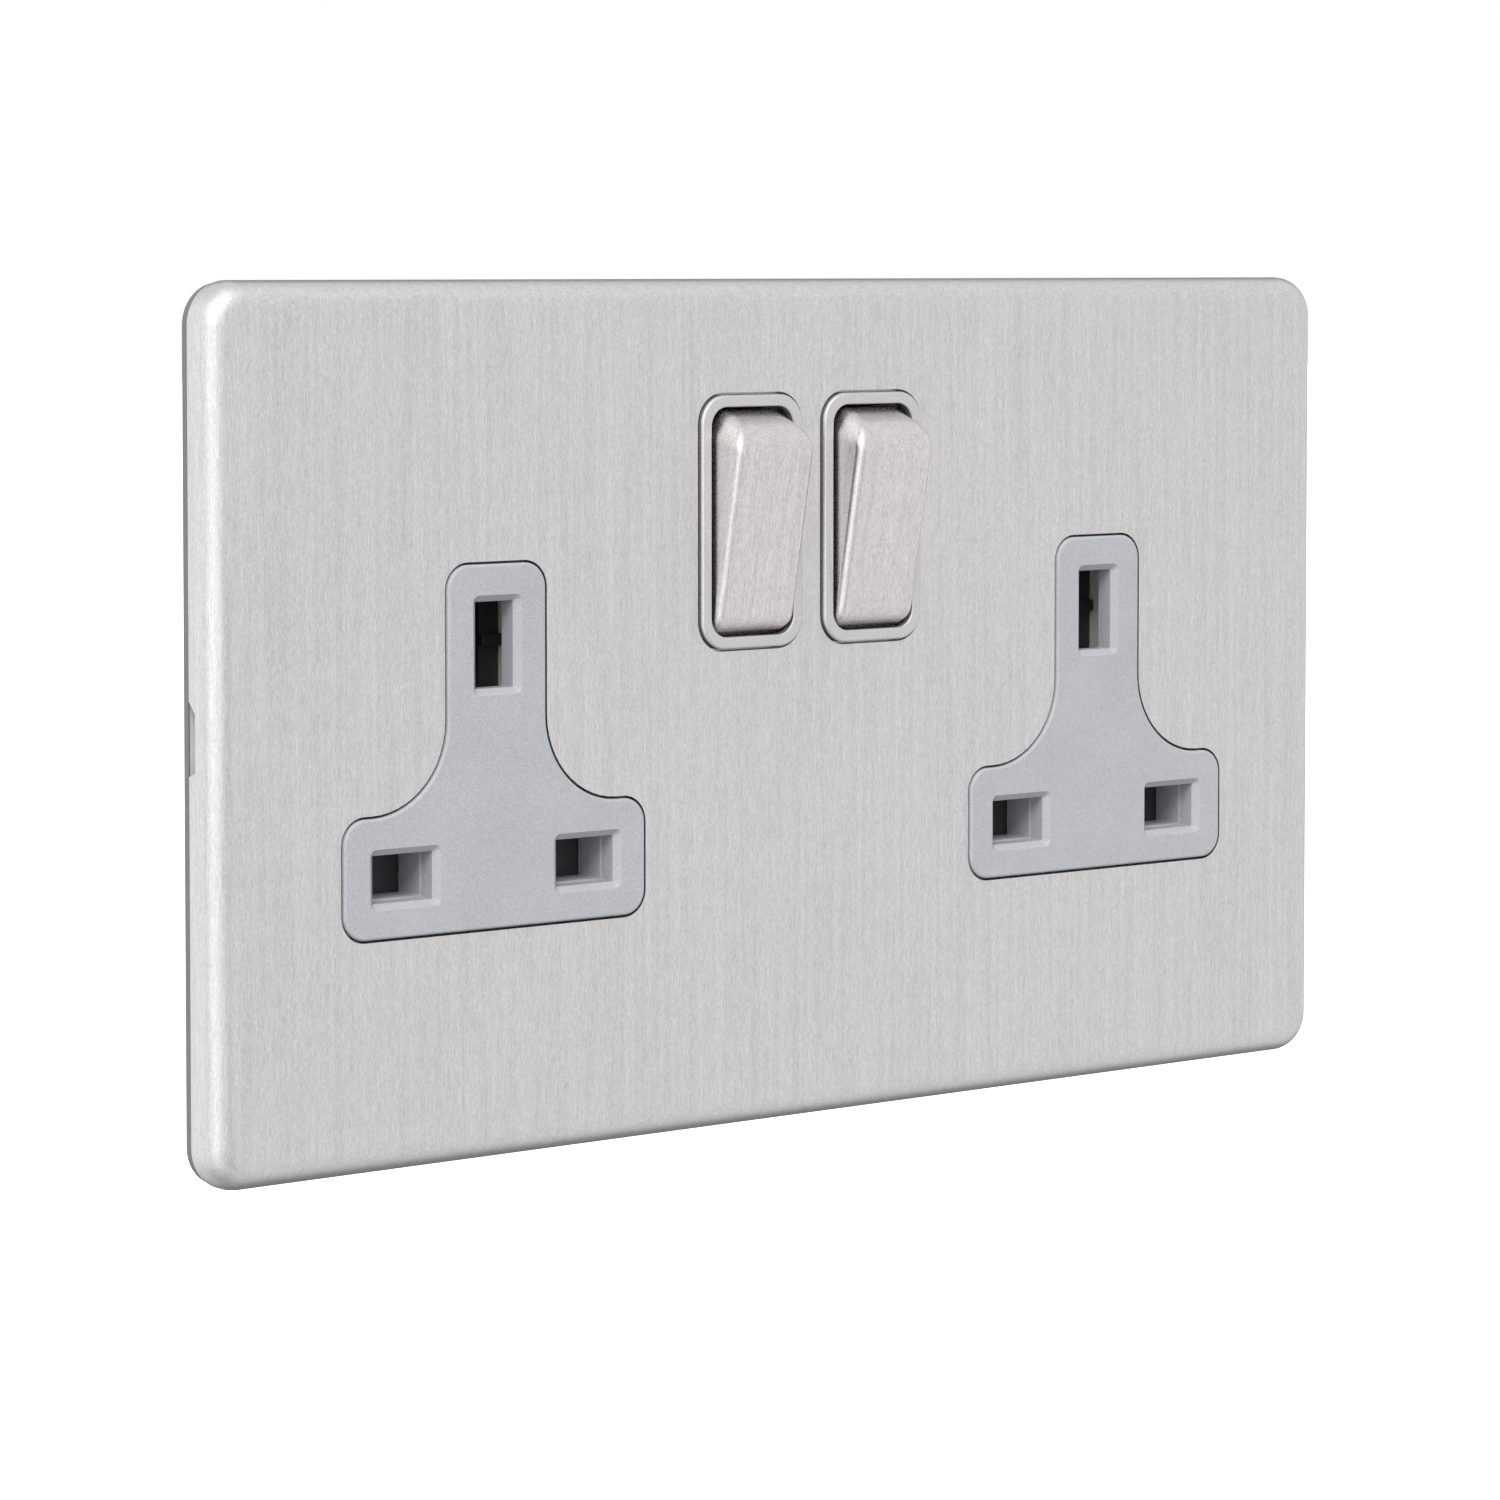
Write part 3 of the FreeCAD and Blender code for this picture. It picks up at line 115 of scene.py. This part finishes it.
class Recipe:
    """A material whose nodes are added one by one."""

    def __init__(self, name):
        self.material = bpy.data.materials.new(name)
        self.material.use_nodes = True
        self.tree = self.material.node_tree
        self.shader = self.tree.nodes["Principled BSDF"]
        self.place = self.add("ShaderNodeTexCoord").outputs["Object"]

    def add(self, kind, **settings):
        return add_node(self.tree, kind, **settings)

    def link(self, source, target):
        self.tree.links.new(source, target)

    def fixed(self, **values):
        """Set constants on the shader's own sockets."""
        for key, value in values.items():
            self.shader.inputs[key.replace("_", " ")].default_value = value

    def noise(self, size, detail=2.0, roughness=0.5, turn=0.0):
        """Noise with a feature size given along X, Y and Z, turned about X."""
        mapping = self.add("ShaderNodeMapping", vector_type="TEXTURE")
        mapping.inputs["Rotation"].default_value = (turn, 0.0, 0.0)
        mapping.inputs["Scale"].default_value = size
        texture = self.add("ShaderNodeTexNoise")
        texture.inputs["Scale"].default_value = 1.0
        texture.inputs["Detail"].default_value = detail
        texture.inputs["Roughness"].default_value = roughness
        self.link(self.place, mapping.inputs["Vector"])
        self.link(mapping.outputs["Vector"], texture.inputs["Vector"])
        return texture.outputs["Fac"]

    def cells(self, size):
        """Random grey for each cell of a crystal pattern."""
        texture = self.add("ShaderNodeTexVoronoi")
        texture.inputs["Scale"].default_value = 1.0 / size
        self.link(self.place, texture.inputs["Vector"])
        grey = self.add("ShaderNodeRGBToBW")
        self.link(texture.outputs["Color"], grey.inputs["Color"])
        return grey.outputs["Val"]

    def spread(self, source, low=0.0, high=1.0, start=0.3, end=0.7):
        """Stretch a pattern's range from start to end over the range from low to high."""
        node = self.add("ShaderNodeMapRange")
        node.inputs["From Min"].default_value = start
        node.inputs["From Max"].default_value = end
        node.inputs["To Min"].default_value = low
        node.inputs["To Max"].default_value = high
        self.link(source, node.inputs["Value"])
        return node.outputs["Result"]

    def blend(self, first, second, share):
        """Mix a share of the second pattern into the first."""
        node = self.add("ShaderNodeMix", data_type="FLOAT")
        node.inputs["Factor"].default_value = share
        self.link(first, node.inputs["A"])
        self.link(second, node.inputs["B"])
        return node.outputs["Result"]

    def math(self, operation, first, second):
        """A product or test of two numbers or patterns."""
        node = self.add("ShaderNodeMath", operation=operation)
        for socket, item in zip(node.inputs, (first, second)):
            if isinstance(item, float):
                socket.default_value = item
            else:
                self.link(item, socket)
        return node.outputs["Value"]

    def within(self, half_x, half_z, corner):
        """One inside a rounded rectangle around the middle, nothing outside it."""
        reach = self.place
        any_depth = 1.0
        core = (half_x - corner, any_depth, half_z - corner)
        for operation, value in (("ABSOLUTE", None), ("SUBTRACT", core), ("MAXIMUM", (0.0, 0.0, 0.0))):
            node = self.add("ShaderNodeVectorMath", operation=operation)
            self.link(reach, node.inputs[0])
            if value:
                node.inputs[1].default_value = value
            reach = node.outputs["Vector"]
        length = self.add("ShaderNodeVectorMath", operation="LENGTH")
        self.link(reach, length.inputs[0])
        return self.math("LESS_THAN", length.outputs["Value"], corner)

    def shade(self, source, dark, light, middle=None):
        """Colour between two tones, or three."""
        ramp = self.add("ShaderNodeValToRGB")
        ramp.color_ramp.elements[0].color = (*dark, 1.0)
        ramp.color_ramp.elements[1].color = (*light, 1.0)
        if middle:
            ramp.color_ramp.elements.new(0.5).color = (*middle, 1.0)
        self.link(source, ramp.inputs["Fac"])
        self.link(ramp.outputs["Color"], self.shader.inputs["Base Color"])

    def rough(self, source, middle, down, up):
        """Roughness that a pattern takes down and up from its middle."""
        self.link(self.spread(source, middle - down, middle + up), self.shader.inputs["Roughness"])

    def bump(self, source, height, strength=1.0):
        """Fine relief."""
        node = self.add("ShaderNodeBump")
        node.inputs["Strength"].default_value = strength
        node.inputs["Distance"].default_value = height
        self.link(source, node.inputs["Height"])
        self.link(node.outputs["Normal"], self.shader.inputs["Normal"])


def tones(colour, contrast):
    """A darker and a lighter tone of a colour."""
    return [tuple(channel * factor for channel in colour) for factor in (1.0 - contrast, 1.0 + contrast)]


def brushed(name, colour, contrast, roughness, turn=0.0):
    """Metal with fine brushing along its height."""
    recipe = Recipe(name)
    hair = recipe.noise((0.10 * MM, 0.10 * MM, 2.4 * MM), detail=3.0, roughness=0.6, turn=turn)
    fleck = recipe.noise((0.12 * MM, 0.12 * MM, 0.4 * MM), turn=turn)
    band = recipe.noise((0.6 * MM, 0.6 * MM, 22.0 * MM), turn=turn)
    grain = recipe.blend(recipe.blend(hair, fleck, share=0.5), band, share=0.18)
    recipe.shade(recipe.spread(grain), *tones(colour, contrast))
    recipe.rough(grain, roughness, down=0.05, up=0.05)
    recipe.bump(hair, height=0.004 * MM, strength=0.5)
    recipe.fixed(Metallic=1.0)
    return recipe.material


def moulded(name, colour, roughness, grain=0.12 * MM, height=0.006 * MM, contrast=0.015, metal=0.0):
    """Plastic with a fine moulded texture, or with a metallic coat."""
    recipe = Recipe(name)
    fine = recipe.noise((grain,) * 3)
    cloud = recipe.noise((9.0 * MM,) * 3)
    recipe.shade(recipe.spread(recipe.blend(fine, cloud, share=0.2)), *tones(colour, contrast))
    recipe.rough(fine, roughness, down=0.05, up=0.05)
    recipe.bump(fine, height)
    recipe.fixed(Metallic=metal)
    return recipe.material


def stamped(name, colour, roughness, contrast=0.08):
    """Sheet metal strip or wire with rolling lines and a faint tarnish."""
    recipe = Recipe(name)
    lines = recipe.noise((4.0 * MM, 0.2 * MM, 0.2 * MM))
    cloud = recipe.noise((5.0 * MM,) * 3, detail=3.0)
    recipe.shade(recipe.spread(recipe.blend(lines, cloud, share=0.6)), *tones(colour, contrast))
    recipe.rough(cloud, roughness, down=0.06, up=0.08)
    recipe.bump(lines, height=0.003 * MM, strength=0.4)
    recipe.fixed(Metallic=1.0)
    return recipe.material


def plated(name, colour, roughness, contrast=0.1, area=None, metal=1.0):
    """Zinc plating with a faint crystal pattern, on all of a part or inside the cut edge of a sheet, whose
    dark tone is partly painted shade.
    """
    recipe = Recipe(name)
    crystal = recipe.cells(2.2 * MM)
    fine = recipe.noise((0.25 * MM,) * 3)
    pattern = recipe.blend(crystal, fine, share=0.5)
    dark, light = tones(colour, contrast)
    if area:
        # The upper half of the ramp is plating, and its foot is the cut edge, darkened partly as painted
        # shade
        plating = recipe.spread(pattern, low=0.5, high=1.0, start=0.0, end=1.0)
        recipe.shade(recipe.math("MULTIPLY", plating, recipe.within(*area)), CUT_EDGE_AND_SHADE, light, dark)
    else:
        recipe.shade(pattern, dark, light)
    recipe.rough(crystal, roughness, down=0.06, up=0.06)
    recipe.bump(fine, height=0.003 * MM, strength=0.5)
    recipe.fixed(Metallic=metal)
    return recipe.material


def dress(material, *names):
    """Give CAD nodes a finish, where a pair is named without its sides."""
    for name in names:
        for key in (name, f"{name}_left", f"{name}_right"):
            if key in frame["nodes"]:
                mesh = frame["nodes"][key].data
                mesh.materials.clear()
                mesh.materials.append(material)


def finishes():
    """Dress every CAD node."""
    dress(brushed("plate_metal", (0.692, 0.677, 0.682), contrast=0.26, roughness=0.36), "front_plate")
    dress(brushed("rocker_metal", (0.722, 0.69, 0.68), contrast=0.34, roughness=0.27, turn=ROCKER_TILT),
          "rocker_cap")
    dress(moulded("insert_plastic", (0.330, 0.338, 0.358), roughness=0.42, grain=0.16 * MM,
                  height=0.03 * MM, contrast=0.16),
          "socket_insert")
    dress(moulded("bezel_plastic", (0.589, 0.583, 0.589), roughness=0.30, grain=0.16 * MM,
                  height=0.008 * MM, contrast=0.10, metal=0.8),
          "rocker_bezel")
    dress(moulded("housing_plastic", (0.66, 0.66, 0.64), roughness=0.45, grain=0.2 * MM, height=0.004 * MM),
          "front_housing", "rear_housing")
    dress(moulded("plunger_plastic", (0.62, 0.60, 0.52), roughness=0.35, grain=0.2 * MM, height=0.002 * MM),
          "plunger")
    dress(moulded("dark_plastic", (0.035, 0.035, 0.038), roughness=0.5), "plate_liner", "rocker_body")
    dress(moulded("shutter_plastic", (0.024, 0.024, 0.026), roughness=0.45), "shutter")
    dress(stamped("contact_brass", (0.80, 0.60, 0.30), roughness=0.30),
          "live_contact", "live_feed_bar", "neutral_busbar", "earth_busbar", "moving_contact",
          "live_terminal", "neutral_terminal", "earth_terminal")
    dress(stamped("spring_metal", (0.55, 0.55, 0.57), roughness=0.28), "rocker_spring", "shutter_spring")
    dress(plated("frame_metal", (0.62, 0.62, 0.63), roughness=0.45, area=PLATED_AREA, metal=0.3),
          "mounting_frame")
    dress(plated("screw_metal", (0.66, 0.65, 0.62), roughness=0.32), "terminal_screws", "housing_screws")


def leaning_cap(side):
    """A rocker cap whose ends lean back to its foot, drawn out of the plain cap that it replaces."""
    node = f"rocker_cap_{side}"
    tilt = next(joint for joint in frame["joints"] if joint["name"] == f"rocker_{side}_tilt")
    pivot = Vector(tilt["pos_m"])
    mesh = frame["nodes"][node].data.copy()
    half = max(abs((vertex.co - pivot).dot(CAP_ALONG)) for vertex in mesh.vertices)
    normals = [corner.vector.copy() for corner in mesh.corner_normals]
    slopes = []
    for vertex in mesh.vertices:
        offset = vertex.co - pivot
        along = offset.dot(CAP_ALONG)
        way = math.copysign(1.0, along)
        # The share of the lean grows over the bend, and the lean with the depth below the level
        reach = min(max((abs(along) - half) / CAP_BEND + 1.0, 0.0), 1.0)
        growth = 1.0 / CAP_BEND if 0.0 < reach < 1.0 else 0.0
        drop = CAP_LEVEL - offset.dot(CAP_OUT)
        slopes.append(CAP_LEAN * (CAP_ALONG * drop * growth - CAP_OUT * reach * way))
        vertex.co += CAP_ALONG * CAP_LEAN * drop * reach * way
    # The smooth normals turn with the surface
    for loop in mesh.loops:
        normal, slope = normals[loop.index], slopes[loop.vertex_index]
        normal -= slope * normal.dot(CAP_ALONG) / (1.0 + slope.dot(CAP_ALONG))
        normal.normalize()
    mesh.normals_split_custom_set(normals)
    piece = bpy.data.objects.new(f"leaning_cap_{side}", mesh)
    bpy.context.scene.collection.objects.link(piece)
    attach(piece, f"rocker_{side}")
    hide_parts(node)


def sky_grey(tree, towards):
    """Grey that follows the height of a direction."""
    split = add_node(tree, "ShaderNodeSeparateXYZ")
    tree.links.new(towards, split.inputs["Vector"])
    level = add_node(tree, "ShaderNodeMapRange")
    level.inputs["From Min"].default_value = -1.0
    tree.links.new(split.outputs["Z"], level.inputs["Value"])
    ramp = add_node(tree, "ShaderNodeValToRGB")
    stops = ramp.color_ramp.elements
    while len(stops) < len(SKY):
        stops.new(0.5)
    for stop, (height, grey) in zip(stops, SKY):
        stop.position = (height + 1.0) / 2.0
        stop.color = (grey, grey, grey, 1.0)
    tree.links.new(level.outputs["Result"], ramp.inputs["Fac"])
    return ramp.outputs["Color"]


def glow_strength(tree, towards):
    """One plus the gain of each glow at a direction."""
    strength = None
    for direction, start, gain in GLOWS:
        dot = add_node(tree, "ShaderNodeVectorMath", operation="DOT_PRODUCT")
        dot.inputs[1].default_value = Vector(direction).normalized()
        tree.links.new(towards, dot.inputs[0])
        glow = add_node(tree, "ShaderNodeMapRange", interpolation_type="SMOOTHSTEP")
        glow.inputs["From Min"].default_value = start
        glow.inputs["To Max"].default_value = gain
        tree.links.new(dot.outputs["Value"], glow.inputs["Value"])
        total = add_node(tree, "ShaderNodeMath", operation="ADD")
        total.inputs[0].default_value = 1.0
        if strength:
            tree.links.new(strength, total.inputs[0])
        tree.links.new(glow.outputs["Result"], total.inputs[1])
        strength = total.outputs["Value"]
    return strength


def studio():
    """Pale surroundings with glows and shades, which the camera itself sees as plain white."""
    world = bpy.data.worlds.new("studio")
    bpy.context.scene.world = world
    world.use_nodes = True
    tree = world.node_tree
    tree.nodes.clear()
    towards = add_node(tree, "ShaderNodeTexCoord").outputs["Generated"]
    around = add_node(tree, "ShaderNodeBackground")
    tree.links.new(sky_grey(tree, towards), around.inputs["Color"])
    tree.links.new(glow_strength(tree, towards), around.inputs["Strength"])
    white = add_node(tree, "ShaderNodeBackground")
    white.inputs["Color"].default_value = WHITE
    rays = add_node(tree, "ShaderNodeLightPath")
    mix = add_node(tree, "ShaderNodeMixShader")
    tree.links.new(rays.outputs["Is Camera Ray"], mix.inputs["Fac"])
    tree.links.new(around.outputs["Background"], mix.inputs[1])
    tree.links.new(white.outputs["Background"], mix.inputs[2])
    output = add_node(tree, "ShaderNodeOutputWorld")
    tree.links.new(mix.outputs["Shader"], output.inputs["Surface"])


def floor():
    """A plain pale floor under the plate."""
    half = FLOOR_SIZE / 2
    level = plate_low.z - FLOOR_DROP
    corners = [(-half, -half, level), (half, -half, level), (half, half, level), (-half, half, level)]
    mesh = bpy.data.meshes.new("floor")
    mesh.from_pydata(corners, [], [(0, 1, 2, 3)])
    item = bpy.data.objects.new("floor", mesh)
    bpy.context.scene.collection.objects.link(item)
    recipe = Recipe("floor_white")
    recipe.shade(recipe.noise((FLOOR_PATCH,) * 3), FLOOR_DARK, FLOOR_LIGHT)
    recipe.fixed(Roughness=FLOOR_ROUGHNESS, Emission_Color=WHITE, Emission_Strength=FLOOR_EMISSION)
    mesh.materials.append(recipe.material)
    # It stays out of reflections and bounced light, which the surroundings give
    item.visible_glossy = False
    item.visible_diffuse = False


def key_light():
    """A wide soft light from the upper left that models the matt parts."""
    data = bpy.data.lights.new("key", "SUN")
    data.energy = KEY_STRENGTH
    data.angle = math.radians(KEY_SPREAD)
    item = bpy.data.objects.new("key", data)
    item.rotation_euler = Vector(KEY_FROM).to_track_quat("Z", "Y").to_euler()
    item.visible_glossy = False
    bpy.context.scene.collection.objects.link(item)


def camera():
    """The photograph's viewing angle."""
    data = bpy.data.cameras.new("camera")
    data.lens = CAMERA_LENS
    data.sensor_width = CAMERA_SENSOR
    data.shift_y = CAMERA_SHIFT_UP
    item = bpy.data.objects.new("camera", data)
    item.location = CAMERA_PLACE
    item.rotation_euler = (math.radians(90.0 - CAMERA_PITCH), 0.0, math.radians(-CAMERA_YAW))
    bpy.context.scene.collection.objects.link(item)
    bpy.context.scene.camera = item


finishes()
for side in ("left", "right"):
    leaning_cap(side)
studio()
floor()
key_light()
camera()
bpy.context.scene.view_settings.view_transform = "Standard"
